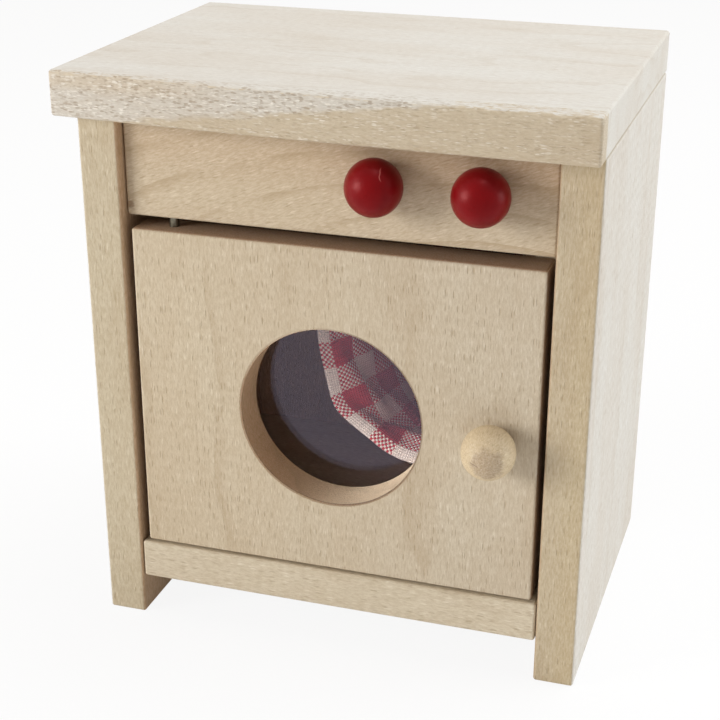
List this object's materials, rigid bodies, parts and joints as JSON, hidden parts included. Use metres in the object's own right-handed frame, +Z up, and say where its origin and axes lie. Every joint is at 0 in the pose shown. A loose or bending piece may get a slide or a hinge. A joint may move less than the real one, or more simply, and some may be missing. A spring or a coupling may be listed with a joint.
{
  "type": "toy washing machine",
  "caption": "Small box-shaped wooden toy washing machine with a pivot-hung front door, a round window, two turning ball knobs and a checked cloth inside.",
  "frame": {"origin": "middle of the overall box's bottom face, on the surface that the feet stand on", "axes": "+Z up, front with door and knobs towards -Y, +X to the right seen from the front"},
  "size_m": [0.0778, 0.0618, 0.0865],
  "materials": {
    "maple_board": "bare sanded board, matt",
    "plywood": "bare sanded plywood, matt",
    "beech": "bare turned wood, matt",
    "red_lacquer": "turned wood with red satin lacquer",
    "clear_pane": "clear polished sheet",
    "steel": "bright nail wire",
    "brass": "plain",
    "checked_cloth": "plain-woven cotton, red and white check"
  },
  "bodies": {
    "cabinet": {"worktop": "maple_board", "side_panel_left": "maple_board", "side_panel_right": "maple_board", "control_panel": "maple_board", "floor_board": "maple_board", "back_panel": "plywood", "door_stop": "maple_board", "worktop_dowels": "beech", "floor_dowels": "beech", "panel_dowels": "beech", "back_nails": "steel", "hinge_pin_top": "steel", "hinge_pin_bottom": "steel", "knob_washer_left": "brass", "knob_washer_right": "brass", "laundry_cloth": "checked_cloth"},
    "door": {"door": "maple_board", "window_pane": "clear_pane", "pane_pins": "brass", "door_pull": "beech", "door_pull_peg": "beech"},
    "knob_left": {"knob_left": "red_lacquer", "knob_screw_left": "steel"},
    "knob_right": {"knob_right": "red_lacquer", "knob_screw_right": "steel"}
  },
  "joints": [
    {"name": "door_hinge", "type": "hinge", "parent": "cabinet", "child": "door", "pos_m": [-0.02344, -0.02052, 0.0385], "axis": [0, 0, -1], "range_deg": [0, 120]},
    {"name": "knob_left_turn", "type": "hinge", "parent": "cabinet", "child": "knob_left", "pos_m": [0.00835, -0.02237, 0.074], "axis": [0, -1, 0], "continuous": true},
    {"name": "knob_right_turn", "type": "hinge", "parent": "cabinet", "child": "knob_right", "pos_m": [0.02305, -0.02237, 0.074], "axis": [0, -1, 0], "continuous": true}
  ]
}
